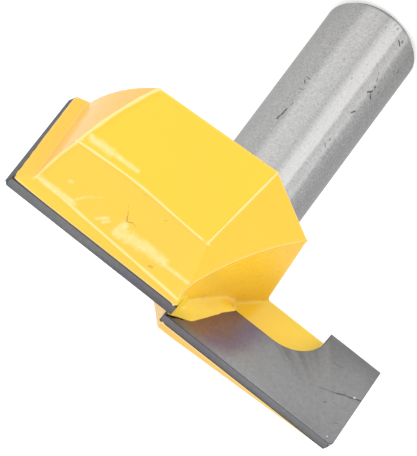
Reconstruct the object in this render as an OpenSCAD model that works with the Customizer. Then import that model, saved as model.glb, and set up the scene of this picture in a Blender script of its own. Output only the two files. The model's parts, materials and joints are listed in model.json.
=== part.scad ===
// Surfacing router bit: a half-inch shank and a two-winged cutter body, turned
// and milled from one piece of steel, with a carbide blade brazed to each wing.
// +Z runs from the end of the shank to the cutting edges, and the axis of the
// shank is the Z axis. The cutting edges lie along X. Depths are measured from
// the cutting plane toward the shank.

/* [Overall] */
// Length from the end of the shank to the cutting plane
overall_length = 55; // [48:0.5:70]
// Diameter swept by the cutting edges
cutting_d = 51.9; // [51:0.1:56]

/* [Shank] */
// Diameter of the shank
shank_d = 12.7; // [11:0.1:13]
// Chamfer at the end of the shank, along the axis
shank_chamfer_length = 0.93; // [0.5:0.01:1.5]
// Chamfer at the end of the shank, across the radius
shank_chamfer_depth = 0.74; // [0.4:0.01:1.2]
// Fillet between the shank and the back face of the body
neck_fillet_r = 2; // [1:0.1:2.2]

/* [Body] */
// Depth of the body's back face
body_depth = 14.7; // [13.5:0.1:16]
// Radius of the body at its back face
body_r = 24.15; // [23.5:0.05:24.5]
// Taper of the body's outer wall, narrower at the cutting end, in degrees
wall_taper = 2.6; // [1:0.1:4]
// Turn of the milled faces about the axis, against the blades, in degrees
face_skew = 4.7; // [3:0.1:7]

/* [Slopes behind each blade] */
// Distance from the axis to the lead slope, at the back face
lead_reach = 17.5; // [16.5:0.1:18.5]
// Lean of the lead slope from the axis, in degrees
lead_lean = 38; // [35:0.5:40]
// Distance from the axis to the corner slope, at the back face
corner_reach = 13.15; // [12.5:0.05:14]
// Lean of the corner slope from the axis, in degrees
corner_lean = 35; // [32:0.5:37]
// Distance from the axis to the start of the relief, in the cutting plane
relief_reach = 3.3; // [3.1:0.05:3.5]
// Rise of the relief from the cutting plane, in degrees
relief_rise = 38; // [35:0.5:41]

/* [Gullet in front of each blade] */
// Radius of the milling wheel that leaves the gullet wall
wheel_r = 50; // [40:1:70]
// Distance from the axis to the gullet wall, at the back face
gullet_reach = 9; // [8.8:0.05:10]
// Distance from the axis to the gullet wall, in the cutting plane
gullet_root = -0.38; // [-0.6:0.02:-0.2]

/* [Blades] */
// Thickness of a blade
blade_t = 1.82; // [1.6:0.02:2]
// Distance of each rake face behind the axis, in the cutting plane
blade_offset = 0.34; // [0.2:0.02:0.5]
// Lean of a blade from the axis, with its back end away from the cut, in degrees
blade_lean = 6.7; // [4:0.1:8]
// Height of a blade's raised outer part
blade_h = 15.15; // [15:0.05:16.5]
// Height of a blade's low inner part
blade_low_h = 8.13; // [7.5:0.01:8.5]
// Distance from the axis to the raised part
blade_step_x = 17.95; // [17:0.05:19]
// Radius of the hook between the low part and the raised part
blade_hook_r = 5.7; // [4:0.1:6]
// Length of a blade past the axis
blade_past = 0.32; // [0.2:0.02:0.4]
// Relief under a blade, in degrees
blade_relief = 5.2; // [4:0.1:7]
// Relief beside a blade, in degrees
blade_side_relief = 15.8; // [12:0.1:18]
// Back taper of a blade's side edge, in degrees
blade_side_taper = 0.6; // [0:0.1:1]
// Chamfer at the outer cutting corner
blade_corner = 0.5; // [0.2:0.05:0.8]

/* [Steel and braze around each blade] */
// Step from the back of a blade down to the steel behind it
steel_step = 0.04; // [0.02:0.01:0.1]
// Height of the steel lip behind the raised part
lip_h = 15; // [14.8:0.05:15.1]
// Thickness of the lip where it meets the outer wall
lip_t = 1.15; // [0.9:0.05:1.5]
// Width of the land behind the cutting edge
land_w = 1.38; // [1.3:0.01:1.6]
// Distance of the land's inner end past the axis
land_past = 0.1; // [0.05:0.01:0.15]
// Reach of the braze fillet along the blade, from the gullet wall
fillet_x = 2.35; // [2:0.05:2.5]
// Reach of the braze fillet up the gullet wall, from the blade
fillet_y = 2.2; // [1.8:0.05:2.4]
// Cover of the braze over the blade's top inner corner
fillet_cover = 0.35; // [0.2:0.05:0.5]

/* [Hidden] */
$fn = 64;

// Half the size of the blocks that cut planes, beyond the whole part
far = 90;
// Depth to which the added steel is sunk in the body
sink = 1.5;
// Depth to which the edges of the braze run into what they meet
bite = 0.05;
// Height of the land's back edge over the relief
land_rise = 0.06;

shank_r = shank_d / 2;
cutting_r = cutting_d / 2;
back_z = overall_length - body_depth;

// Thickness of a blade along Y
blade_ty = blade_t / cos(blade_lean);
// Distance of each blade seat behind the axis, in the cutting plane
seat_y = blade_offset + blade_ty;
// Depth of the steel at the blade's back lower edge, and radius at its back outer edge
land_depth = blade_ty * tan(blade_relief) + steel_step;
lip_r = cutting_r - blade_t * tan(blade_side_relief) - steel_step;
// Distance of the land's back edge behind the axis
land_y = seat_y + land_w;

// Centre of the milling wheel, from two points of the gullet wall and its radius
chord_x = gullet_reach - gullet_root;
chord = norm([chord_x, body_depth]);
chord_to_centre = sqrt(wheel_r * wheel_r - chord * chord / 4);
wheel_x = (gullet_reach + gullet_root) / 2 + chord_to_centre * body_depth / chord;
wheel_depth = body_depth / 2 - chord_to_centre * chord_x / chord;

// Radius of the outer wall at a depth
function wall_r(depth) = body_r - (body_depth - depth) * tan(wall_taper);

// Depth of the relief at a point behind the blade that lies at -X
function relief_depth(x, y) =
    (y * cos(face_skew) - x * sin(face_skew) - relief_reach) * tan(relief_rise);

// X of the gullet wall at a depth and a Y
function gullet_x(depth, y) =
    (wheel_x - sqrt(wheel_r * wheel_r - pow(depth - wheel_depth, 2)) - y * sin(face_skew))
    / cos(face_skew);

// Y of the rake face of the blade at +X, at a depth
function rake_y(depth) = -blade_offset - depth * tan(blade_lean);

// A point at a depth
function at(x, y, depth) = [x, y, overall_length - depth];

// Everything beyond a plane. Its normal points outwards at the azimuth from +Y
// toward +X, and leans toward the cutting end.
module beyond(azimuth, lean, distance, depth) {
    translate([0, 0, overall_length - depth])
        rotate([0, 0, -azimuth])
            translate([0, distance, 0])
                rotate([lean, 0, 0])
                    translate([-far, 0, -far])
                        cube([2 * far, far, 2 * far]);
}

// Places a shape drawn in the plane of the blade at +X: X outwards, Y away from
// the cutting plane, and Z out of the rake face
module in_blade_plane() {
    translate(at(0, -blade_offset, 0))
        rotate([-90 - blade_lean, 0, 0])
            children();
}

// Solid that spans a set of points
module through(points) {
    hull()
        polyhedron(points, [[for (i = [0 : len(points) - 1]) i]]);
}

// Face of a blade: a low inner part that rises in a hook to a raised outer part
module blade_outline() {
    top = blade_h / cos(blade_lean);
    low = blade_low_h / cos(blade_lean);
    hook_x = blade_step_x - blade_hook_r;
    difference() {
        translate([-blade_past, -blade_t])
            square([blade_past + cutting_r + blade_t, blade_t + top]);
        translate([hook_x, low + blade_hook_r])
            circle(blade_hook_r);
        translate([-far, low])
            square([far + hook_x, far]);
        translate([-far, low + blade_hook_r])
            square([far + blade_step_x, far]);
    }
}

// The blade at +X, which faces +Y
module blade() {
    difference() {
        in_blade_plane()
            difference() {
                translate([0, 0, -blade_t])
                    linear_extrude(blade_t)
                        blade_outline();
                // Side relief and back taper
                translate([cutting_r, 0, 0])
                    rotate([0, 0, blade_side_taper])
                        rotate([0, blade_side_relief, 0])
                            translate([0, -far, -far])
                                cube([far, 2 * far, 2 * far]);
                // Chamfer at the outer cutting corner
                translate([cutting_r - blade_corner, 0, 0])
                    rotate([0, 0, -45])
                        translate([0, -far, -far])
                            cube([far, 2 * far, 2 * far]);
            }
        // Relief under the cutting edge
        translate(at(0, -blade_offset, 0))
            rotate([blade_relief, 0, 0])
                translate([-far, -far, 0])
                    cube([2 * far, 2 * far, far]);
    }
}

// Turned blank: the shank, the neck fillet and the disc with its tapered wall
module blank() {
    rotate_extrude()
        polygon([
            [0, 0],
            [shank_r - shank_chamfer_depth, 0],
            [shank_r, shank_chamfer_length],
            [shank_r, back_z],
            [body_r, back_z],
            [wall_r(land_depth), overall_length - land_depth],
            [0, overall_length - land_depth],
        ]);
    rotate_extrude()
        difference() {
            translate([shank_r / 2, back_z - neck_fillet_r])
                square([shank_r / 2 + neck_fillet_r, neck_fillet_r + sink]);
            translate([shank_r + neck_fillet_r, back_z - neck_fillet_r])
                circle(neck_fillet_r);
        }
}

// What is milled away on one side: the gullet in front of the blade at +X, and
// the slopes behind the blade at -X
module milling() {
    beyond(-face_skew, lead_lean, lead_reach, body_depth);
    beyond(-face_skew, 90 - relief_rise, relief_reach, 0);
    intersection() {
        beyond(45 - face_skew, corner_lean, corner_reach, body_depth);
        translate([-far, seat_y, 0])
            cube([2 * far, far, far]);
    }
    difference() {
        rotate([0, 0, face_skew])
            translate([wheel_x, 0, overall_length - wheel_depth])
                rotate([90, 0, 0])
                    cylinder(r = wheel_r, h = 2 * far, center = true);
        in_blade_plane()
            translate([-far, -far, -blade_t - far])
                cube([2 * far, 2 * far, far]);
    }
}

// Steel lip behind the raised part of the blade at +X, tapering to the outer wall
module lip() {
    wall_x = body_r - lip_t;
    difference() {
        intersection() {
            in_blade_plane()
                rotate([-90, 0, 0])
                    linear_extrude(2 * body_depth)
                        polygon([
                            [wall_x - sink, blade_t / 2],
                            [lip_r, blade_t / 2],
                            [lip_r, blade_t],
                            [wall_x, blade_t + lip_t],
                            [wall_x - sink, blade_t + lip_t],
                        ]);
            translate(at(0, -far, lip_h))
                cube([far, far, lip_h - land_depth]);
        }
        rotate([0, 0, 180])
            beyond(-face_skew, 90 - relief_rise, relief_reach, 0);
    }
}

// Land behind the cutting edge of the blade at +X, from the blade to the relief
module land() {
    front_y = -seat_y + blade_ty / 2;
    wall_x = body_r - lip_t;
    inner_depth = relief_depth(land_past, land_y) - land_rise;
    outer_depth = relief_depth(-wall_x, land_y) - land_rise;
    through([
        at(-land_past, front_y, land_depth),
        at(lip_r, front_y, land_depth),
        at(-land_past, -seat_y, land_depth),
        at(lip_r, -seat_y, land_depth),
        at(-land_past, -land_y, inner_depth),
        at(wall_x, -land_y, outer_depth),
        at(-land_past, front_y, inner_depth + sink),
        at(lip_r, front_y, outer_depth + sink),
        at(-land_past, -land_y, inner_depth + sink),
        at(wall_x, -land_y, outer_depth + sink),
    ]);
}

// Three points of the braze at a depth. It slopes from the gullet wall, at a rise
// off a plane parallel to the rake face and behind it, down to that plane, at a
// reach from the wall. Both edges run on into what they meet.
function braze_row(depth, rise, reach, behind) =
    let (y = rake_y(depth) - behind, x = gullet_x(depth, y))
    [
        at(gullet_x(depth, y + rise) - bite, y + rise * (1 + bite / reach), depth),
        at(x + reach * (1 + bite / rise), y - bite, depth),
        at(x - sink, y - sink, depth),
    ];

// Braze in the corner between the gullet wall and the blade at +X. It thins
// out along the blade and closes over the blade's top inner corner.
module braze_fillet() {
    tip = 2 * land_depth;
    quarter = blade_low_h / 4;
    thinned = (fillet_y + 3 * fillet_cover) / 4;
    start = [at(gullet_x(tip, rake_y(tip)) - bite, rake_y(tip) - bite, tip)];
    lower = braze_row(quarter, fillet_y, fillet_x, 0);
    middle = braze_row(3 * quarter, thinned, fillet_x, 0);
    upper = braze_row(blade_low_h, fillet_cover, fillet_x, 0);
    end = braze_row(blade_low_h + fillet_x, fillet_cover, fillet_cover, blade_ty);
    through(concat(start, lower, middle));
    through(concat(middle, upper, end));
}

module body() {
    color("gold")
        difference() {
            union() {
                difference() {
                    blank();
                    for (turn = [0, 180])
                        rotate([0, 0, turn])
                            milling();
                }
                for (turn = [0, 180])
                    rotate([0, 0, turn]) {
                        lip();
                        land();
                        braze_fillet();
                    }
            }
            for (turn = [0, 180])
                rotate([0, 0, turn])
                    blade();
        }
}

module blade_a() {
    color("dimgray")
        blade();
}

module blade_b() {
    color("dimgray")
        rotate([0, 0, 180])
            blade();
}

body();
blade_a();
blade_b();
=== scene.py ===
"""Looks of the surfacing router bit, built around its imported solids.

The painted cutter body, the bare shank and the two carbide blades are pieces of
their own. Lengths are in metres, and values in millimetres are multiplied by MM.
+Z runs from the shank's end to the cutting plane, and the cutting edges lie
along X.
"""

import json
import logging
import math
from dataclasses import dataclass, field
from enum import Enum
from typing import Any, Iterable, Sequence

import bmesh
import bpy
import numpy as np
from mathutils import Matrix, Vector, kdtree
from mathutils.bvhtree import BVHTree

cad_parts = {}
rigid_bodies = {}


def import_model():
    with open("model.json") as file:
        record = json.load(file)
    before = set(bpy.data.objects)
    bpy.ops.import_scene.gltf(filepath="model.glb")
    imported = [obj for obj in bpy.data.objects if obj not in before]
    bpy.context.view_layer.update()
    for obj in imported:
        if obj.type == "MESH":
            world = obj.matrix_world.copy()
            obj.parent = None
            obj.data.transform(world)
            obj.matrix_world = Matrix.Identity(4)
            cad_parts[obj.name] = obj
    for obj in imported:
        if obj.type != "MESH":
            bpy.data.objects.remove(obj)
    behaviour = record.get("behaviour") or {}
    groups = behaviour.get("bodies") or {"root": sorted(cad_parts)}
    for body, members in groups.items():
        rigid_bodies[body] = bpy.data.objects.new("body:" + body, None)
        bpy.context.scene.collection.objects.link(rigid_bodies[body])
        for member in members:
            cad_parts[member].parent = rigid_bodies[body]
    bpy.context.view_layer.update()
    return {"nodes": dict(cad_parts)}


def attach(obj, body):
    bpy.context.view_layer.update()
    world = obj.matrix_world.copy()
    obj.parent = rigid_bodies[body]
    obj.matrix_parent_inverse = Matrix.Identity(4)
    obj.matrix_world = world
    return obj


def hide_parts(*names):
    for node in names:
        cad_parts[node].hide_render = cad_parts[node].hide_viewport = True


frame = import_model()

MM = 0.001
STROKES_AT_ONCE = 4
NO_LENGTH = 1e-12
LOG = logging.getLogger("router_bit")

Colour = tuple[float, float, float]
Point = tuple[float, float, float]
Socket = bpy.types.NodeSocket
Groups = dict[str, bpy.types.NodeTree]


class Wing(Enum):
    """The two wings of the bit, each with the turn that brings it to +X."""

    A = 0
    B = 180


class Sheet:
    """A node tree that is being drawn.

    Args:
        tree: The shader, geometry or world tree that takes the nodes.
    """

    def __init__(self, tree: bpy.types.NodeTree) -> None:
        self.tree = tree

    def feed(self, socket: Socket, value: Any) -> None:
        """Links a socket to another one, or sets its value."""
        if isinstance(value, Socket):
            self.tree.links.new(value, socket)
        else:
            socket.default_value = value

    def node(self, kind: str, inputs: dict | None = None, **settings: Any) -> bpy.types.Node:
        """Adds a node.

        Args:
            kind: Blender's name for the type of node.
            inputs: Values or sockets for its inputs, by name or index.
            settings: The node's own properties.

        Returns:
            The new node.
        """
        made = self.tree.nodes.new(kind)
        for name, value in settings.items():
            setattr(made, name, value)
        for name, value in (inputs or {}).items():
            self.feed(made.inputs[name], value)
        return made

    def math(self, operation: str, *values: Any, clamp: bool = False) -> Socket:
        """Output of a Math node on some numbers or sockets."""
        made = self.node("ShaderNodeMath", dict(enumerate(values)), operation=operation)
        made.use_clamp = clamp
        return made.outputs[0]

    def times(self, first: Any, second: Any) -> Socket:
        """The product of two values."""
        return self.math("MULTIPLY", first, second)

    def plus(self, first: Any, second: Any) -> Socket:
        """The sum of two values."""
        return self.math("ADD", first, second)

    def larger(self, first: Any, second: Any) -> Socket:
        """The larger of two values."""
        return self.math("MAXIMUM", first, second)

    def swing(self, value: Any, size: float) -> Socket:
        """A value from 0 to 1 as one from minus half a size to plus half a size."""
        return self.math("MULTIPLY_ADD", value, size, -size / 2)

    def vector(self, operation: str, *values: Any) -> Socket:
        """Output of a Vector Math node: its vector, or its number where it has one."""
        made = self.node("ShaderNodeVectorMath", operation=operation)
        slots = [made.inputs[0], made.inputs["Scale"]] if operation == "SCALE" else made.inputs
        for socket, value in zip(slots, values):
            self.feed(socket, value)
        number = operation in ("DOT_PRODUCT", "LENGTH", "DISTANCE")
        return made.outputs["Value" if number else "Vector"]

    def span(self, value: Any, low: Any, high: Any, start: Any = 0.0, end: Any = 1.0) -> Socket:
        """A value carried smoothly from the range low to high to the range start to end."""
        made = self.node("ShaderNodeMapRange", interpolation_type="SMOOTHSTEP")
        for name, given in zip(("Value", "From Min", "From Max", "To Min", "To Max"),
                               (value, low, high, start, end)):
            self.feed(made.inputs[name], given)
        return made.outputs["Result"]

    def noise(self, position: Any, scale: Any, detail: float = 2.0, rough: float = 0.5) -> Socket:
        """Noise from 0 to 1 at a position, with a scale per metre."""
        made = self.node("ShaderNodeTexNoise", {"Vector": position, "Scale": scale,
                                                "Detail": detail, "Roughness": rough})
        return made.outputs[0]

    def mix(self, factor: Any, first: Any, second: Any) -> Socket:
        """A colour between two colours."""
        made = self.node("ShaderNodeMix", data_type="RGBA")
        self.feed(made.inputs["Factor"], factor)
        for name, value in (("A", first), ("B", second)):
            socket = next(s for s in made.inputs if s.name == name and s.type == "RGBA")
            self.feed(socket, value if isinstance(value, Socket) else (*value, 1.0))
        return next(s for s in made.outputs if s.type == "RGBA")


def new_group(name: str, inputs: dict[str, tuple[str, Any]], outputs: dict[str, str],
              kind: str = "ShaderNodeTree") -> tuple[Sheet, bpy.types.Node, bpy.types.Node]:
    """Starts a node group.

    Args:
        name: The group's name.
        inputs: Each input's socket type and default value, by name.
        outputs: Each output's socket type, by name.
        kind: The type of tree.

    Returns:
        The sheet to draw on, the group's input node and its output node.
    """
    tree = bpy.data.node_groups.new(name, kind)
    for label, (socket_type, value) in inputs.items():
        made = tree.interface.new_socket(label, in_out="INPUT", socket_type=socket_type)
        if value is not None:
            made.default_value = value
    for label, socket_type in outputs.items():
        tree.interface.new_socket(label, in_out="OUTPUT", socket_type=socket_type)
    sheet = Sheet(tree)
    return sheet, sheet.node("NodeGroupInput"), sheet.node("NodeGroupOutput")


def speckle_group() -> bpy.types.NodeTree:
    """Group of small irregular spots: the share of the surface that they cover is an input."""
    sheet, given, made = new_group(
        "speckles",
        {"Position": ("NodeSocketVector", None), "Scale": ("NodeSocketFloat", 1000.0),
         "Cover": ("NodeSocketFloat", 0.1)},
        {"Mask": "NodeSocketFloat"})
    grain = sheet.noise(given.outputs["Position"], given.outputs["Scale"], detail=3.0)
    edge = sheet.math("SUBTRACT", 0.72, given.outputs["Cover"])
    sheet.feed(made.inputs["Mask"], sheet.span(grain, edge, sheet.plus(edge, 0.08)))
    return sheet.tree


def stroke_group() -> bpy.types.NodeTree:
    """Group of one straight stroke between two points, such as a scratch."""
    sheet, given, made = new_group(
        "stroke",
        {"Position": ("NodeSocketVector", None), "From": ("NodeSocketVector", None),
         "To": ("NodeSocketVector", None), "Width": ("NodeSocketFloat", 0.0002)},
        {"Mask": "NodeSocketFloat"})
    source = given.outputs
    along = sheet.vector("SUBTRACT", source["To"], source["From"])
    offset = sheet.vector("SUBTRACT", source["Position"], source["From"])
    share = sheet.math("DIVIDE", sheet.vector("DOT_PRODUCT", offset, along),
                       sheet.vector("DOT_PRODUCT", along, along), clamp=True)
    distance = sheet.vector("DISTANCE", offset, sheet.vector("SCALE", along, share))
    inner = sheet.times(source["Width"], 0.4)
    sheet.feed(made.inputs["Mask"], sheet.span(distance, inner, source["Width"], 1.0, 0.0))
    return sheet.tree


class Surface:
    """A material that is being drawn: its sheet, its shader and its place on the object.

    Args:
        name: The material's name.
        groups: The shared shader groups, by name.
    """

    def __init__(self, name: str, groups: Groups) -> None:
        self.material = bpy.data.materials.new(name)
        self.material.use_nodes = True
        tree = self.material.node_tree
        self.sheet = Sheet(tree)
        self.shader = tree.nodes["Principled BSDF"]
        self.groups = groups
        self.position = self.sheet.node("ShaderNodeTexCoord").outputs["Object"]

    def group(self, name: str, **inputs: Any) -> Socket:
        """Mask from a shared group, with the names of its inputs in small letters."""
        made = self.sheet.node("ShaderNodeGroup", node_tree=self.groups[name])
        self.sheet.feed(made.inputs["Position"], inputs.pop("position", self.position))
        for label, value in inputs.items():
            self.sheet.feed(made.inputs[label.replace("_", " ").title()], value)
        return made.outputs[0]

    def give(self, label: str, value: Any) -> None:
        """Gives one of the shader's inputs a socket or a value."""
        self.sheet.feed(self.shader.inputs[label], value)

    def attribute(self, name: str) -> Socket:
        """A number that the piece's own mesh carries."""
        return self.sheet.node("ShaderNodeAttribute", attribute_name=name).outputs["Fac"]

    def wander(self, reach: float, scale: float) -> Socket:
        """The position, led astray by noise, so that what is drawn there is uneven."""
        drift = self.sheet.node("ShaderNodeTexNoise",
                                {"Vector": self.position, "Scale": scale, "Detail": 2.0})
        centred = self.sheet.vector("SUBTRACT", drift.outputs["Color"], (0.5, 0.5, 0.5))
        return self.sheet.vector("ADD", self.position, self.sheet.vector("SCALE", centred, reach))

    def strokes(self, strokes: Iterable["Stroke"], position: Socket) -> Socket:
        """Mask of some strokes together.

        After every few strokes the position takes in the mask so far, times almost nothing. The renderer
        then works out a few strokes at a time, because a material that needs too many values at once
        comes out black.
        """
        whole: Any = 0.0
        for index, stroke in enumerate(strokes, 1):
            mask = self.group("stroke", position=position, From=point(stroke.start), To=point(stroke.end),
                              width=stroke.width * MM)
            whole = self.sheet.larger(whole, self.sheet.times(mask, stroke.strength))
            if index % STROKES_AT_ONCE == 0:
                tie = self.sheet.vector("SCALE", whole, NO_LENGTH)
                position = self.sheet.vector("ADD", position, tie)
        return whole

    def bump(self, height: Socket, distance: float) -> None:
        """Gives the shader a relief of a height from 0 to 1 times a distance."""
        made = self.sheet.node("ShaderNodeBump", {"Height": height, "Distance": distance, "Strength": 1.0})
        self.give("Normal", made.outputs["Normal"])


@dataclass(frozen=True)
class Stroke:
    """A straight mark on the surface, from one point to another, in millimetres."""

    start: Point
    end: Point
    width: float
    strength: float = 1.0


def point(millimetres: Point) -> Point:
    """A point in metres."""
    return tuple(c * MM for c in millimetres)


@dataclass(frozen=True)
class PaintFinish:
    """Glossy yellow paint, with painted highlights on the ridges, blade edges and smears, painted shade in
    the gullets and on some faces, and a peach painted sheen on others.
    """

    yellow: Colour = (1.0, 0.670, 0.042)
    # paler yellow of the painted highlights
    painted_highlight: Colour = (1.0, 0.880, 0.400)
    # deeper orange of the painted shade on the gullets, corner faces, hook pads and walls; the random clouds
    # reuse it
    shade_orange: Colour = (1.0, 0.560, 0.034)
    # peach of the painted sheen: the white surround mirrored in some faces
    sheen_peach: Colour = (0.930, 0.520, 0.220)
    # dark brown of the specks and scratches, and of the painted shade along the gullet crease
    speck_and_crease_shade: Colour = (0.620, 0.300, 0.060)
    roughness: float = 0.24
    cloud_scale: float = 90.0
    ragged_scale: float = 1300.0
    streak_scale: float = 3200.0
    width_scale: float = 330.0
    width_swing: float = 1.5
    least_width: float = 0.25
    # reach and strength of the painted highlight along the blades' edges
    blade_highlight_reach: tuple[float, float] = (0.06 * MM, 0.26 * MM)
    blade_highlight_tone: float = 0.45
    speck_scale: float = 2400.0
    speck_cover: float = 0.14
    speck_tone: float = 0.26
    orange_peel: float = 0.006 * MM
    scratches: tuple[Stroke, ...] = (
        Stroke((-12.1, 7.3, 51.1), (-11.5, 6.6, 51.7), 0.09, 0.6),
        Stroke((-11.5, 6.6, 51.7), (-11.2, 6.0, 52.2), 0.10, 0.9),
        Stroke((-11.2, 6.0, 52.2), (-10.4, 6.3, 52.0), 0.09, 0.8),
        Stroke((-10.4, 6.3, 52.0), (-9.8, 6.2, 52.1), 0.08, 0.5),
        Stroke((-7.6, 8.5, 50.4), (-7.4, 8.7, 50.3), 0.16, 0.5),
        Stroke((-11.6, 9.1, 49.8), (-11.3, 9.2, 49.7), 0.20, 0.4),
        Stroke((-5.7, 4.1, 54.0), (-5.1, 4.2, 53.9), 0.20, 0.6),
        Stroke((11.0, -6.4, 51.9), (12.6, -7.0, 51.5), 0.08, 0.6),
        Stroke((17.4, -5.2, 52.4), (17.9, -4.9, 52.6), 0.12, 0.4),
    )

    def material(self, groups: Groups) -> bpy.types.Material:
        """The paint as a material."""
        surface = Surface("yellow_paint", groups)
        sheet = surface.sheet
        cloud = sheet.noise(surface.position, self.cloud_scale, detail=3.0)
        ragged = sheet.noise(surface.position, self.ragged_scale, detail=5.0, rough=0.7)
        uneven = sheet.noise(surface.position, self.width_scale)
        # painted shade: the gullets, corner faces, hook pads and walls are drawn deeper orange, by kind of
        # face
        colour = sheet.mix(surface.attribute("shade_orange"), self.yellow, self.shade_orange)
        # random clouds of the same deeper orange: tone that varies at random
        colour = sheet.mix(sheet.span(cloud, 0.35, 0.7, 0.0, 0.10), colour, self.shade_orange)
        # painted sheen: some faces are drawn paler peach, as the white surround mirrored in them
        colour = sheet.mix(surface.attribute("sheen_peach"), colour, self.sheen_peach)
        # painted highlights along the ridges, where a line's tone is above 0
        place = surface.attribute("line_place")
        width = sheet.math("MULTIPLY_ADD", uneven, self.width_swing, self.least_width)
        off = sheet.math("DIVIDE", sheet.math("ABSOLUTE", place), width)
        line = sheet.times(sheet.span(off, 0.45, 1.25, 1.0, 0.0), surface.attribute("line_tone"))
        colour = sheet.mix(surface.attribute("line_shade"), colour, self.shade_orange)
        # painted highlights on the smears of paint, which the relief also raises a little
        smear_highlight = sheet.plus(surface.attribute("smear_highlight"), sheet.swing(ragged, 1.3))
        smear_highlight = sheet.span(smear_highlight, 0.20, 1.30, 1.0, 0.0)
        smear_highlight = sheet.times(smear_highlight, sheet.span(ragged, 0.30, 0.62, 0.95, 0.60))
        streaks = sheet.noise(surface.position, self.streak_scale, detail=3.0, rough=0.7)
        smear_highlight = sheet.times(smear_highlight, sheet.span(streaks, 0.35, 0.60, 0.72, 1.0))
        # painted highlight along the blades' edges, where the paint meets the carbide
        bead = sheet.span(surface.attribute("from_blade"), *self.blade_highlight_reach, self.blade_highlight_tone, 0.0)
        # all painted highlights together (ridge lines, smears and blade edges), drawn paler yellow
        painted_highlight = sheet.larger(sheet.larger(smear_highlight, line), bead)
        colour = sheet.mix(painted_highlight, colour, self.painted_highlight)
        # painted shade along the crease, where a line's tone is below 0, drawn with the specks' dark brown
        dark = sheet.math("MULTIPLY", line, -1.0, clamp=True)
        specks = sheet.times(surface.group("speckles", scale=self.speck_scale, cover=self.speck_cover),
                             sheet.math("MULTIPLY_ADD", surface.attribute("speckled"), self.speck_tone, 0.02))
        marks = surface.strokes(self.scratches, surface.wander(0.5 * MM, 900.0))
        dark = sheet.larger(sheet.larger(dark, specks), marks)
        colour = sheet.mix(dark, colour, self.speck_and_crease_shade)
        surface.give("Base Color", colour)
        rough = sheet.span(cloud, 0.3, 0.7, self.roughness - 0.05, self.roughness + 0.08)
        surface.give("Roughness", rough)
        peel = sheet.noise(surface.position, 1600.0)
        surface.bump(sheet.math("SUBTRACT", peel, marks), self.orange_peel)
        return surface.material


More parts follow.
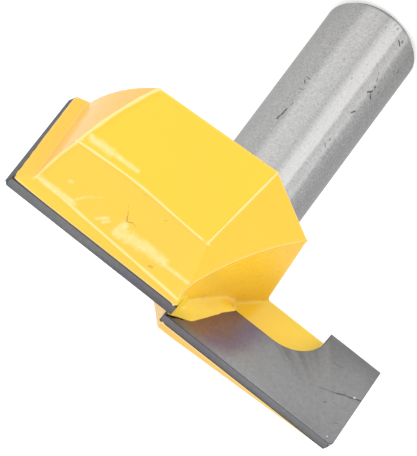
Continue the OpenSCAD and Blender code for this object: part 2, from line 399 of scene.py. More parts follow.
@dataclass(frozen=True)
class CarbideFinish:
    """Ground carbide, tinted by the heat of brazing near the blade's inner end, with painted shade on its
    flank, outer end and broken edge faces.
    """

    wing: Wing
    grey: Colour = (0.260, 0.260, 0.262)
    brown: Colour = (0.268, 0.180, 0.155)
    violet: Colour = (0.192, 0.152, 0.196)
    slate: Colour = (0.215, 0.225, 0.250)
    scorch: Colour = (0.060, 0.036, 0.062)
    # near black of the scratches, and of the painted shadow in the braze gap
    soot_and_shadow: Colour = (0.020, 0.016, 0.018)
    glint: Colour = (0.700, 0.700, 0.700)
    # levels of the painted shade on the flank and on the broken edges
    flank_shade_tone: float = 0.90
    edge_shade_tone: float = 0.45
    brown_reach: tuple[float, float] = (2.2 * MM, 5.2 * MM)
    violet_reach: tuple[float, float] = (4.6 * MM, 8.5 * MM)
    heat_swing: float = 3.6 * MM
    slate_heights: tuple[float, float] = (53.4 * MM, 54.7 * MM)
    scorch_depths: tuple[float, float] = (-2.10 * MM, -1.80 * MM)
    scorch_heights: tuple[float, float] = (54.2 * MM, 54.6 * MM)
    metallic: float = 0.85
    edge_sheen: Colour = (0.35, 0.35, 0.38)
    grain_height: float = 0.006 * MM
    braze: Stroke = Stroke((0.8, -0.4, 54.4), (4.3, -1.2, 47.6), 1.0)
    scratches: tuple[Stroke, ...] = (
        Stroke((19.4, -1.03, 49.0), (22.6, -1.22, 47.4), 0.11, 0.35),
        Stroke((22.6, -1.22, 47.4), (25.8, -1.41, 45.8), 0.13, 0.65),
        Stroke((20.2, -1.67, 43.6), (21.4, -1.70, 43.3), 0.12, 0.25),
        Stroke((22.0, -0.91, 50.0), (22.2, -0.96, 49.6), 0.16, 0.35),
        Stroke((24.6, -0.72, 51.6), (24.9, -0.76, 51.3), 0.12, 0.4),
    )
    # chips at the edge, drawn as painted glints
    chips: tuple[Stroke, ...] = (
        Stroke((24.85, -1.37, 46.15), (24.95, -1.38, 46.05), 0.13),
        Stroke((24.8, -0.42, 54.2), (24.9, -0.43, 54.1), 0.10),
    )
    # painted shadow in the gap at the inner end of the braze
    gap: tuple[Stroke, ...] = (
        Stroke((0.0, -0.34, 54.9), (0.7, -0.38, 54.5), 0.20),
        Stroke((0.7, -0.38, 54.5), (1.9, -0.48, 53.7), 0.16))

    def material(self, groups: Groups) -> bpy.types.Material:
        """The carbide of one blade as a material."""
        surface = Surface(f"carbide_{self.wing.name.lower()}", groups)
        sheet = surface.sheet
        turned = sheet.node("ShaderNodeMapping", {"Vector": surface.position,
                                                  "Rotation": (0.0, 0.0, math.radians(-self.wing.value))})
        place = turned.outputs["Vector"]
        start, end = Vector(point(self.braze.start)), Vector(point(self.braze.end))
        offset = sheet.vector("SUBTRACT", place, tuple(start))
        run = end - start
        share = sheet.math("DIVIDE", sheet.vector("DOT_PRODUCT", offset, tuple(run)), run.dot(run),
                           clamp=True)
        heat = sheet.vector("DISTANCE", offset, sheet.vector("SCALE", tuple(run), share))
        heat = sheet.plus(heat, sheet.swing(sheet.noise(place, 260.0), self.heat_swing))
        grain = sheet.noise(place, 2100.0, detail=3.0, rough=0.7)
        mottle = sheet.noise(place, 340.0, detail=4.0)
        tone = sheet.math("MULTIPLY_ADD", grain, 0.50, 0.75)
        tone = sheet.times(tone, sheet.math("MULTIPLY_ADD", mottle, 0.30, 0.85))
        # painted shade: the flank, the outer end faces and the broken edges are drawn darker than the rake
        # face
        for name, level in (("flank_shade", self.flank_shade_tone), ("edge", self.edge_shade_tone)):
            tone = sheet.times(tone, sheet.math("MULTIPLY_ADD", surface.attribute(name), level - 1.0, 1.0))
        parts = sheet.node("ShaderNodeSeparateXYZ", {"Vector": place}).outputs
        colour = sheet.mix(sheet.span(heat, *self.violet_reach), self.violet, self.grey)
        colour = sheet.mix(sheet.span(heat, *self.brown_reach), self.brown, colour)
        cool = sheet.times(sheet.span(parts["Z"], *self.slate_heights),
                           sheet.span(heat, 2 * MM, 12 * MM, 0.8, 0.2))
        colour = sheet.mix(cool, colour, self.slate)
        colour = sheet.vector("SCALE", colour, tone)
        seat = sheet.times(sheet.span(parts["Y"], *self.scorch_depths, 0.85, 0.0),
                           sheet.span(parts["Z"], *self.scorch_heights))
        colour = sheet.mix(seat, colour, self.scorch)
        if self.wing is Wing.A:
            colour = self.marked(surface, colour)
        surface.give("Base Color", colour)
        surface.give("Metallic", self.metallic)
        surface.give("Specular Tint", (*self.edge_sheen, 1.0))
        surface.give("Roughness", sheet.span(mottle, 0.3, 0.7, 0.46, 0.56))
        surface.bump(grain, self.grain_height)
        return surface.material

    def marked(self, surface: Surface, colour: Socket) -> Socket:
        """Adds the scratches, the chips drawn as painted glints and the painted shadow in the gap at the
        braze.
        """
        sheet = surface.sheet
        place = surface.wander(0.35 * MM, 1100.0)
        for strokes, tint in ((self.scratches, self.soot_and_shadow), (self.chips, self.glint), (self.gap, self.soot_and_shadow)):
            colour = sheet.mix(surface.strokes(strokes, place), colour, tint)
        return colour


@dataclass(frozen=True)
class Pit:
    """A dent or scratch in the shank: its middle, its size and its slant, in degrees and millimetres."""

    angle: float
    height: float
    length: float
    width: float
    slant: float = 0.0
    strength: float = 0.8

    def stroke(self, radius: float, spread: float) -> Stroke:
        """The pit's grime on a round surface of a radius in millimetres, wider than the pit by a factor."""
        lean = math.radians(self.slant)
        ends = []
        for side in (-0.5, 0.5):
            turn = math.radians(self.angle) + side * self.length * math.sin(lean) / radius
            ends.append((radius * math.sin(turn), radius * math.cos(turn),
                         self.height + side * self.length * math.cos(lean)))
        return Stroke(ends[0], ends[1], self.width * spread, self.strength)


@dataclass(frozen=True)
class SteelFinish:
    """Bare ground steel with lengthwise painted reflection bands, grime in its pits and painted shade on its
    chamfered rim.
    """

    # the bright and dark ends of the painted reflection bands and the grain
    bright: Colour = (0.630, 0.630, 0.635)
    dark: Colour = (0.200, 0.203, 0.207)
    # near black of the grime in the pits, and of the painted shade on the rim
    grime_and_shade: Colour = (0.035, 0.032, 0.031)
    grime_spread: float = 1.35
    grain_scale: float = 3800.0
    grain_swing: float = 1.30
    ring_swing: float = 0.16
    reflection_sway: float = 0.05
    rim_shade_heights: tuple[float, float] = (0.10 * MM, 0.55 * MM)
    rim_shade_tone: float = 0.85
    metallic: float = 0.9
    edge_sheen: Colour = (0.72, 0.72, 0.72)
    grain_height: float = 0.006 * MM
    # lightness of the painted reflection bands, by azimuth in degrees
    reflection_bands: tuple[tuple[float, float], ...] = (
        (-180, 0.45), (-140, 0.75), (-110, 0.40), (-75, 0.36), (-50, 0.42), (-35, 0.38), (-26, 0.66),
        (-8, 0.57), (-2, 0.46), (3, 0.70), (6, 0.88), (17, 0.97), (21, 0.52), (31, 0.62), (36, 0.28),
        (50, 0.14), (75, 0.16), (110, 0.60), (140, 0.35), (180, 0.45))

    def material(self, groups: Groups, pits: Sequence[Pit],
                 radius: float) -> bpy.types.Material:
        """The shank's steel as a material.

        Args:
            groups: The shared shader groups.
            pits: The pits that hold grime.
            radius: The shank's radius.

        Returns:
            The material.
        """
        surface = Surface("ground_steel", groups)
        sheet = surface.sheet
        parts = sheet.node("ShaderNodeSeparateXYZ", {"Vector": surface.position}).outputs
        # painted reflections: lengthwise bright and dark bands by azimuth
        soft = sheet.swing(sheet.noise(surface.position, 300.0), self.reflection_sway)
        angle = sheet.plus(sheet.math("ARCTAN2", parts["X"], parts["Y"]), soft)
        share = sheet.math("MULTIPLY_ADD", angle, 1 / math.tau, 0.5)
        reflection_band = sheet.node("ShaderNodeValToRGB", {"Fac": share})
        stops = reflection_band.color_ramp.elements
        for degrees, tone in self.reflection_bands[1:-1]:
            stops.new(degrees / 360 + 0.5).color = (tone, tone, tone, 1.0)
        for stop, (_, tone) in ((stops[0], self.reflection_bands[0]), (stops[len(stops) - 1], self.reflection_bands[-1])):
            stop.color = (tone, tone, tone, 1.0)
        grain = sheet.noise(surface.position, self.grain_scale, detail=3.0, rough=0.75)
        rings = sheet.noise(sheet.vector("MULTIPLY", surface.position, (1.0, 1.0, 5.0)), 500.0, detail=3.0)
        rough = sheet.plus(sheet.swing(grain, self.grain_swing), sheet.swing(rings, self.ring_swing))
        # painted reflection bands and grain, between the dark and the bright steel
        colour = sheet.mix(sheet.math("ADD", reflection_band.outputs["Color"], rough, clamp=True), self.dark,
                           self.bright)
        # painted shade on the chamfer at the shank's end
        rim = sheet.span(parts["Z"], *self.rim_shade_heights, self.rim_shade_tone, 0.0)
        marks = surface.strokes([pit.stroke(radius / MM, self.grime_spread) for pit in pits],
                                surface.wander(0.3 * MM, 1500.0))
        colour = sheet.mix(sheet.larger(rim, marks), colour, self.grime_and_shade)
        surface.give("Base Color", colour)
        surface.give("Metallic", self.metallic)
        surface.give("Specular Tint", (*self.edge_sheen, 1.0))
        surface.give("Roughness", sheet.span(grain, 0.3, 0.7, 0.38, 0.50))
        surface.bump(sheet.math("SUBTRACT", grain, marks), self.grain_height)
        return surface.material


def plain_mesh(piece: bpy.types.Object) -> bpy.types.Mesh:
    """The mesh that an object's modifiers make."""
    bpy.context.view_layer.update()
    graph = bpy.context.evaluated_depsgraph_get()
    return bpy.data.meshes.new_from_object(piece.evaluated_get(graph))


def settle(piece: bpy.types.Object) -> None:
    """Applies an object's modifiers."""
    mesh = plain_mesh(piece)
    piece.modifiers.clear()
    old = piece.data
    piece.data = mesh
    bpy.data.meshes.remove(old)


def new_piece(name: str, mesh: bpy.types.Mesh) -> bpy.types.Object:
    """Adds an object with a mesh to the scene."""
    piece = bpy.data.objects.new(name, mesh)
    bpy.context.scene.collection.objects.link(piece)
    return piece


def merged_copy(node: str) -> bmesh.types.BMesh:
    """A copy of a CAD node's mesh with its loose triangles joined up.

    Args:
        node: The CAD node's name.

    Returns:
        The joined mesh, which the caller frees.
    """
    shape = bmesh.new()
    shape.from_mesh(frame["nodes"][node].data)
    bmesh.ops.remove_doubles(shape, verts=shape.verts, dist=1e-7)
    flat = [e for e in shape.edges if len(e.link_faces) == 2 and e.calc_face_angle(0.0) < math.radians(0.3)]
    bmesh.ops.dissolve_edges(shape, edges=flat, use_verts=False)
    return shape


def coordinates(mesh: bpy.types.Mesh) -> np.ndarray:
    """A mesh's points as rows of three numbers."""
    flat = np.empty(len(mesh.vertices) * 3, np.float32)
    mesh.vertices.foreach_get("co", flat)
    return flat.reshape(-1, 3).astype(float)


def set_number(mesh: bpy.types.Mesh, name: str, values: np.ndarray) -> None:
    """Stores a number for each point of a mesh."""
    made = mesh.attributes.get(name) or mesh.attributes.new(name, "FLOAT", "POINT")
    made.data.foreach_set("value", np.ascontiguousarray(values, np.float32))


def fall(value: float, start: float, length: float) -> float:
    """1 up to a start, and from there down to 0 over a length."""
    return min(1.0, max(0.0, 1.0 - (value - start) / length))


def rise(value: float, start: float, length: float) -> float:
    """0 up to a start, and from there up to 1 over a length."""
    return min(1.0, max(0.0, (value - start) / length))


WALL_RADIUS = 22.5 * MM
WALL_FACING = 0.85
LAND_HEIGHT = 53 * MM
LAND_REACH = 4
FACET_REACH = 9
GULLET_REACH = 15
AT_BLADE = 0.05 * MM


class Facet(Enum):
    """The kinds of face on the cutter body, by the azimuth and elevation of their normals in degrees."""

    LEAD = (-4.7, 38)
    RELIEF = (-4.7, 52)
    CORNER = (40.3, 35)
    GULLET = (85.3, 31)
    STEP = (0, 0)
    BACK = (0, -90)
    LAND = (0, 90)
    WALL = (90, 2.6)

    @classmethod
    def of(cls, face: bmesh.types.BMFace) -> "Facet | None":
        """The kind of a face, or None where it is of no kind that the paint knows."""
        middle, normal = face.calc_center_median(), face.normal
        outward = Vector((middle.x, middle.y, 0)).normalized()
        if middle.xy.length > WALL_RADIUS and normal.dot(outward) > WALL_FACING:
            return cls.WALL
        slope = min(cls.gap(normal, facet) for facet in (cls.LEAD, cls.LAND))
        if middle.z > LAND_HEIGHT and normal.z > 0.5 and slope < LAND_REACH:
            return cls.LAND
        best = min(cls, key=lambda facet: cls.gap(normal, facet))
        reach = GULLET_REACH if best is cls.GULLET else FACET_REACH
        return best if best is not cls.WALL and cls.gap(normal, best) < reach else None

    @classmethod
    def gap(cls, normal: Vector, facet: "Facet") -> float:
        """Angle between a normal and a kind of face on either wing, in degrees."""
        azimuth, elevation = facet.value
        return min(math.degrees(normal.angle(direction(azimuth + turn, elevation))) for turn in (0, 180))


@dataclass(frozen=True)
class PaintedLightLine:
    """A line where two faces meet: a painted highlight where its tone is above 0 and painted shade where it
    is below 0, with lengths in millimetres.

    The shift moves the line toward its first face, the bow moves it toward its second face by a length
    for each of some even places along it, and the extra is its length past its inner end.
    """

    first: Facet
    second: Facet
    half_width: float
    tone: float
    shift: float = 0.0
    bow: tuple[float, ...] = (0.0,)
    extra: float = 0.0


@dataclass(frozen=True)
class EdgePoint:
    """A point on an edge: the ways across and out of it, its bend, its bow and its share of the way."""

    place: Vector
    across: Vector
    out: Vector
    bend: float
    line: PaintedLightLine | None
    bow: float
    share: float


class EdgeField:
    """Points along some edges of the solid.

    Args:
        edges: The edges, each with the painted line that follows it, if any.
        painted: Whether the points lie on the painted lines, and not on the edges themselves.
        step: The distance between the points.
    """

    def __init__(self, edges: Iterable[tuple[bmesh.types.BMEdge, PaintedLightLine | None]], painted: bool = True,
                 step: float = 0.1 * MM) -> None:
        self.rows: list[EdgePoint] = []
        for edge, line in edges:
            faces = list(edge.link_faces)
            if line is not None:
                faces.sort(key=lambda face: Facet.of(face) is not line.first)
            across = (faces[1].normal - faces[0].normal).normalized()
            out = (faces[1].normal + faces[0].normal).normalized()
            first, last = sorted((v.co for v in edge.verts), key=lambda co: -co.xy.length)
            run = last - first
            extra = line.extra * MM / run.length if line and painted else 0.0
            bows = line.bow if line else (0.0,)
            for share in np.linspace(0.0, 1.0 + extra, max(2, int(run.length * (1 + extra) / step) + 1)):
                bow = float(np.interp(share, np.linspace(0.0, 1.0, len(bows)), bows)) * MM
                place = first + run * share
                if line and painted:
                    place = place + across * (bow - line.shift * MM)
                self.rows.append(EdgePoint(place, across, out, edge.calc_face_angle(0.0), line, bow, share))
        self.tree = kdtree.KDTree(len(self.rows))
        for i, row in enumerate(self.rows):
            self.tree.insert(row.place, i)
        self.tree.balance()

    def near(self, place: Vector) -> tuple[EdgePoint, float]:
        """The nearest point of the field and its distance."""
        _, index, distance = self.tree.find(place)
        return self.rows[index], distance


class Steel:
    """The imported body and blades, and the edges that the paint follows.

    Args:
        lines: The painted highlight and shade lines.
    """

    def __init__(self, lines: Sequence[PaintedLightLine]) -> None:
        self.body = merged_copy("body")
        self.blades = [merged_copy(node) for node in ("blade_a", "blade_b")]
        self.facets = [Facet.of(face) for face in self.body.faces]
        self.body_tree = BVHTree.FromBMesh(self.body)
        self.blade_trees = [BVHTree.FromBMesh(shape) for shape in self.blades]
        pairs = {frozenset((line.first, line.second)): line for line in lines}
        ridges, corners, followed = [], [], []
        for edge in self.body.edges:
            middle = (edge.verts[0].co + edge.verts[1].co) / 2
            if len(edge.link_faces) != 2 or self.from_blades(middle) < AT_BLADE:
                continue
            line = pairs.get(frozenset(self.facets[face.index] for face in edge.link_faces))
            if line is not None:
                followed.append((edge, line))
            angle = math.degrees(edge.calc_face_angle_signed(0.0))
            if abs(angle) > FACET_REACH:
                (ridges if angle > 0 else corners).append((edge, None))
        self.ridges, self.corners, self.lines = EdgeField(ridges), EdgeField(corners), EdgeField(followed)
        self.bows = EdgeField([pair for pair in followed if len(pair[1].bow) > 1], painted=False)

    def from_blades(self, place: Vector) -> float:
        """Distance from a point to the nearer blade."""
        return min(tree.find_nearest(place)[3] for tree in self.blade_trees)

    def surface(self, place: Vector) -> tuple[Vector, float]:
        """The nearest point on the body or a blade, and its distance."""
        found = [tree.find_nearest(place) for tree in (self.body_tree, *self.blade_trees)]
        best = min(found, key=lambda hit: hit[3])
        return best[0], best[3]

    def free(self) -> None:
        """Lets the meshes go."""
        for shape in (self.body, *self.blades):
            shape.free()


@dataclass
class PaintedBody:
    """The cutter body under its coat of paint, which rounds the milled edges."""

    finish: PaintFinish = field(default_factory=PaintFinish)
    # painted highlight lines along the ridges, and one painted shade line along the gullet crease
    lines: tuple[PaintedLightLine, ...] = (
        PaintedLightLine(Facet.RELIEF, Facet.LEAD, 0.15, 0.85, 0.0,
                  (0.45, 0.50, 0.52, 0.50, 0.36, 0.12, -0.17, -0.42, -0.64)),
        PaintedLightLine(Facet.LEAD, Facet.CORNER, 0.14, 0.85, -0.06, extra=0.50),
        PaintedLightLine(Facet.LEAD, Facet.WALL, 0.24, 0.80, 0.08),
        PaintedLightLine(Facet.RELIEF, Facet.WALL, 0.20, 0.70, 0.05),
        PaintedLightLine(Facet.LAND, Facet.STEP, 0.16, 0.80),
        PaintedLightLine(Facet.LEAD, Facet.BACK, 0.15, 0.65, 0.34),
        # painted shade along the crease between the gullet and the corner face
        PaintedLightLine(Facet.GULLET, Facet.CORNER, 0.18, -0.30),
    )
    # smears of paint with painted highlights on them
    smear_highlights: tuple[Stroke, ...] = (
        Stroke((-20.8, 9.6, 48.2), (-17.8, 9.9, 48.2), 0.62),
        Stroke((-17.8, 9.9, 48.2), (-13.9, 10.2, 48.2), 0.36),
        Stroke((-11.4, 4.5, 53.4), (-11.0, 5.5, 52.5), 0.55),
        Stroke((-10.6, 4.8, 53.2), (-7.7, 5.2, 53.0), 0.95),
        Stroke((-7.7, 5.2, 53.0), (-4.6, 5.4, 53.0), 0.80),
        Stroke((-4.6, 5.2, 53.2), (-0.6, 5.4, 53.3), 0.30),
        Stroke((-22.6, 3.6, 53.4), (-17.6, 3.8, 53.4), 0.46),
        Stroke((-17.7, 4.3, 53.1), (-16.9, 5.2, 52.5), 0.16),
        Stroke((-16.9, 5.2, 52.5), (-15.1, 6.3, 51.7), 0.13),
        Stroke((-14.3, 4.2, 53.4), (-13.2, 5.0, 52.8), 0.24),
        Stroke((-19.7, 5.3, 52.2), (-19.4, 5.4, 52.1), 0.24),
        Stroke((-13.4, 4.3, 53.4), (-12.7, 4.9, 52.9), 0.18),
        Stroke((9.0, -5.0, 53.0), (14.5, -5.6, 52.2), 0.50),
        Stroke((14.5, -5.6, 52.2), (17.6, -6.9, 51.0), 0.26),
        Stroke((5.0, -12.2, 47.2), (8.4, -12.5, 46.6), 0.34),
        Stroke((19.0, -3.7, 53.4), (22.5, -3.6, 53.4), 0.40),
    )
    highlight_gaps: tuple[Point, ...] = ((-2.1, 9.8, 49.9), (2.1, -9.8, 49.9))
    wraps: tuple[Stroke, ...] = (
        Stroke((0.26, 2.3, 53.0), (0.05, 2.35, 54.9), 0.65),
        Stroke((-0.26, -2.3, 53.0), (-0.05, -2.35, 54.9), 0.65))
    grid: float = 0.21 * MM
    ridge_radius: float = 0.22 * MM
    corner_blend: float = 0.5 * MM
    corner_hold: float = 0.1 * MM
    first_passes: int = 6
    last_passes: int = 2
    braze_blend: int = 30
    braze_radius: float = 9 * MM
    braze_height: float = 42 * MM
    braze_clear: tuple[float, float] = (0.15 * MM, 0.8 * MM)
    bow_reach: tuple[float, float] = (1.5 * MM, 5.0 * MM)
    bow_ends: float = 0.05
    line_reach: tuple[float, float] = (0.8 * MM, 0.4 * MM)
    line_end: tuple[float, float] = (0.15 * MM, 0.3 * MM)
    line_sides: float = 2.5
    shade_place: float = -2.0
    highlight_gap_reach: tuple[float, float] = (0.15 * MM, 0.35 * MM)
    gullet_end: float = 17 * MM
    gullet_run: float = 7 * MM
    pad_radius: float = 22 * MM
    # shares of painted shade for the far gullet, gullet, corner face, hook pad and wall
    shade_tones: tuple[float, ...] = (0.40, 0.68, 0.75, 0.60, 0.80)
    # shares of painted sheen for the wall, far gullet, gullet, relief, near land, land and hook pad
    sheen_tones: tuple[float, ...] = (0.45, 0.38, 0.40, 0.13, 0.55, 0.10, 0.15)
    coat: float = 0.03 * MM
    bead: float = 0.035 * MM
    tuck: float = 0.22 * MM
    paint_end: float = 38.4 * MM
    ripple: float = 0.018 * MM
    ripple_scale: float = 420.0
    most_faces: int = 185_000

    def solid(self) -> bpy.types.Object:
        """The body and both blades together, cut off where the paint ends on the shank."""
        whole = bmesh.new()
        for node in ("body", "blade_a", "blade_b"):
            shape = merged_copy(node)
            mesh = bpy.data.meshes.new("part")
            shape.to_mesh(mesh)
            shape.free()
            whole.from_mesh(mesh)
            bpy.data.meshes.remove(mesh)
        cut = bmesh.ops.bisect_plane(whole, geom=whole.verts[:] + whole.edges[:] + whole.faces[:],
                                     plane_co=(0, 0, self.paint_end), plane_no=(0, 0, -1), clear_outer=True)
        rim = [e for e in cut["geom_cut"] if isinstance(e, bmesh.types.BMEdge)]
        bmesh.ops.contextual_create(whole, geom=rim)
        bmesh.ops.recalc_face_normals(whole, faces=whole.faces)
        mesh = bpy.data.meshes.new("body_solid")
        whole.to_mesh(mesh)
        whole.free()
        return new_piece("painted_body", mesh)

    def relaxed(self, mesh: bpy.types.Mesh, points: np.ndarray, passes: int,
                share: np.ndarray | float) -> np.ndarray:
        """The points after some smoothing passes, each by its own share from 0 to 1."""
        ends = np.empty(len(mesh.edges) * 2, np.int32)
        mesh.edges.foreach_get("vertices", ends)
        first, second = ends.reshape(-1, 2).T
        around = np.maximum(np.bincount(np.concatenate([first, second]), minlength=len(points)), 1)[:, None]
        points = points.copy()
        for _ in range(passes):
            total = np.stack([np.bincount(first, points[second, i], len(points))
                              + np.bincount(second, points[first, i], len(points)) for i in range(3)], 1)
            points += 0.5 * share * (total / around - points)
        return points

    def fair(self, mesh: bpy.types.Mesh, steel: Steel) -> None:
        """Brings the mesh onto the solid, with round ridges, filled corners and flowing braze."""
        points = self.relaxed(mesh, coordinates(mesh), self.first_passes, 1.0)
        braze = np.zeros(len(points))
        for i, p in enumerate(points):
            place = Vector(p)
            target, gap = steel.surface(place)
            if gap > 2 * self.grid or abs(p[2] - self.paint_end) < self.grid:
                continue
            corner = steel.corners.near(place)[1]
            hold = rise(corner, self.corner_hold, self.corner_blend)
            moved = place.lerp(target, hold)
            ridge, distance = steel.ridges.near(place)
            if distance < 2 * self.ridge_radius:
                moved = self.rounded(moved, ridge, hold)
            facet = steel.facets[steel.body_tree.find_nearest(place)[2]]
            if facet in (Facet.LEAD, Facet.RELIEF):
                moved = self.bowed(moved, steel.bows.near(moved)[0])
            points[i] = moved
            middle = np.hypot(p[0], p[1]) < self.braze_radius and p[2] > self.braze_height
            if middle and facet is None:
                braze[i] = rise(steel.from_blades(place), *self.braze_clear)
        share = self.relaxed(mesh, np.repeat(braze[:, None], 3, 1), self.first_passes, 1.0)[:, :1]
        points = self.relaxed(mesh, points, self.braze_blend, np.clip(share * 1.5, 0.0, 1.0))
        points = self.relaxed(mesh, points, self.last_passes, 0.8)
        mesh.vertices.foreach_set("co", points.astype(np.float32).ravel())
        mesh.update()

    def rounded(self, place: Vector, ridge: EdgePoint, hold: float) -> Vector:
        """A point near a ridge, moved onto the ridge's rounding."""
        offset = place - ridge.place
        across = offset.dot(ridge.across)
        half = ridge.bend / 2
        if abs(across) > self.ridge_radius * math.sin(half):
            return place
        centre = self.ridge_radius / max(math.cos(half), 0.3)
        height = math.sqrt(self.ridge_radius ** 2 - across ** 2) - centre
        return place + ridge.out * (height - offset.dot(ridge.out)) * hold

    def bowed(self, place: Vector, ridge: EdgePoint) -> Vector:
        """A point of the faces beside a bowed ridge, moved so that the faces meet where the ridge bows to."""
        offset = place - ridge.place
        across, out = offset.dot(ridge.across), offset.dot(ridge.out)
        beyond = math.sqrt(max(0.0, offset.length_squared - across ** 2 - out ** 2))
        drop = max(0.0, ridge.bow - across) - max(0.0, -across)
        fade = fall(-across, *self.bow_reach) * fall(beyond, 0.0, MM)
        fade *= min(1.0, ridge.share / self.bow_ends, (1.0 - ridge.share) / self.bow_ends)
        return place - ridge.out * (drop * math.tan(ridge.bend) * fade)

    def mark(self, mesh: bpy.types.Mesh, steel: Steel) -> None:
        """Stores what the paint and its relief follow: the painted highlight and shade lines, the smears, the
        painted shade and sheen by kind of face, and the blades' edges.
        """
        points = coordinates(mesh)
        place, tone, shade, from_blade, gap, kind = (np.zeros(len(points)) for _ in range(6))
        order = {facet: i for i, facet in enumerate(Facet)}
        for i, p in enumerate(points):
            spot = Vector(p)
            row, distance = steel.lines.near(spot)
            half = row.line.half_width * MM
            place[i] = (spot - row.place).dot(row.across) / half
            along = math.sqrt(max(0.0, distance ** 2 - (place[i] * half) ** 2))
            tone[i] = row.line.tone * fall(distance, *self.line_reach)
            tone[i] *= fall(along, *self.line_end) if abs(place[i]) < 1.5 else 1.0
            shade[i] = tone[i] * fall(abs(place[i] - self.shade_place), 0.0, 1.2)
            tone[i] *= rise(self.line_sides - abs(place[i]), 0.0, 0.8)
            # the painted highlight lines fade out near two corners
            highlight_gap_distance = min((spot - Vector(point(corner))).length for corner in self.highlight_gaps)
            tone[i] *= max(0.1, rise(highlight_gap_distance, *self.highlight_gap_reach))
            from_blade[i] = steel.from_blades(spot)
            _, _, face, gap[i] = steel.body_tree.find_nearest(spot)
            kind[i] = order.get(steel.facets[face], -1)
            if len(row.line.bow) > 1 and steel.facets[face] in (Facet.LEAD, Facet.RELIEF):
                kind[i] = order[row.line.first if place[i] < 0 else row.line.second]
        radius = np.hypot(points[:, 0], points[:, 1])
        out = np.clip((radius - self.gullet_end) / self.gullet_run, 0.0, 1.0)
        wrapped = np.min([self.reach(points, stroke) for stroke in self.wraps], axis=0)
        named = (Facet.GULLET, Facet.WALL, Facet.RELIEF, Facet.CORNER, Facet.LAND)
        gullet, wall, relief, corner, land = (kind == order[facet] for facet in named)
        far, pad = points[:, 0] < 0.0, (kind < 0) & (radius > self.pad_radius)
        sheens = list(self.sheen_tones)
        sheens[2] = sheens[2] * out
        values = {
            "line_place": np.clip(place, -6.0, 6.0),
            "line_tone": tone,
            "line_shade": shade * 0.4,
            "from_blade": np.where(kind < 0, from_blade + 1.0 * MM, from_blade),
            "bare": np.minimum(np.clip((gap - from_blade) / (0.3 * MM), 0.0, 1.0),
                               np.clip(wrapped - 0.7, 0.0, 1.0)),
            # painted shade by kind of face: share of the deeper orange
            "shade_orange": np.select([gullet & far, gullet, corner, pad, wall], self.shade_tones, 0.0),
            "speckled": np.where(gullet, 1.0, 0.0),
            # painted sheen by kind of face: share of the peach
            "sheen_peach": np.select([wall, gullet & far, gullet, relief, land & ~far, land, pad], sheens, 0.0),
            # distance from the smears, which carry painted highlights
            "smear_highlight": np.min([self.reach(points, stroke) for stroke in self.smear_highlights], axis=0),
        }
        for name, numbers in values.items():
            set_number(mesh, name, numbers)

    def reach(self, points: np.ndarray, stroke: Stroke) -> np.ndarray:
        """Distance of some points from a stroke, in its widths, up to 3."""
        start, end = (np.array(point(p)) for p in (stroke.start, stroke.end))
        run = end - start
        share = np.clip((points - start) @ run / (run @ run), 0.0, 1.0)
        away = np.linalg.norm(points - start - share[:, None] * run, axis=1)
        return np.minimum(away / (stroke.width * MM), 3.0)

    def relief(self) -> bpy.types.NodeTree:
        """Geometry tree that lays the paint: its thickness, its ripples and its tuck under the blades."""
        sheet, given, made = new_group(
            "paint_relief",
            {"Geometry": ("NodeSocketGeometry", None), "Coat": ("NodeSocketFloat", self.coat),
             "Tuck": ("NodeSocketFloat", self.tuck), "Bead": ("NodeSocketFloat", self.bead),
             "Ripple": ("NodeSocketFloat", self.ripple),
             "Ripple Scale": ("NodeSocketFloat", self.ripple_scale),
             "Paint": ("NodeSocketMaterial", None)},
            {"Geometry": "NodeSocketGeometry"}, kind="GeometryNodeTree")
        source = given.outputs
        position = sheet.node("GeometryNodeInputPosition").outputs[0]
        normal = sheet.node("GeometryNodeInputNormal").outputs[0]
        bare, place, tone, smear_highlight = (
            sheet.node("GeometryNodeInputNamedAttribute", {"Name": name}, data_type="FLOAT").outputs[0]
            for name in ("bare", "line_place", "line_tone", "smear_highlight"))
        raised = sheet.times(sheet.span(sheet.math("ABSOLUTE", place), 0.0, 1.8, 1.0, 0.0), tone)
        rough = sheet.swing(sheet.noise(position, 1000.0), 1.4)
        spread = sheet.span(sheet.plus(smear_highlight, rough), 0.3, 1.2, 1.0, 0.0)
        raised = sheet.larger(raised, spread)
        waves = sheet.math("SUBTRACT", sheet.noise(position, source["Ripple Scale"], detail=3.0), 0.5)
        height = sheet.plus(source["Coat"], sheet.times(waves, source["Ripple"]))
        height = sheet.plus(height, sheet.times(raised, source["Bead"]))
        height = sheet.math("SUBTRACT", height, sheet.times(bare, source["Tuck"]))
        move = sheet.vector("SCALE", normal, height)
        moved = sheet.node("GeometryNodeSetPosition", {"Geometry": source["Geometry"], "Offset": move})
        real = sheet.node("GeometryNodeRealizeInstances", {"Geometry": moved.outputs[0]})
        dressed = sheet.node("GeometryNodeSetMaterial",
                             {"Geometry": real.outputs[0], "Material": source["Paint"]})
        sheet.feed(made.inputs["Geometry"], dressed.outputs[0])
        return sheet.tree

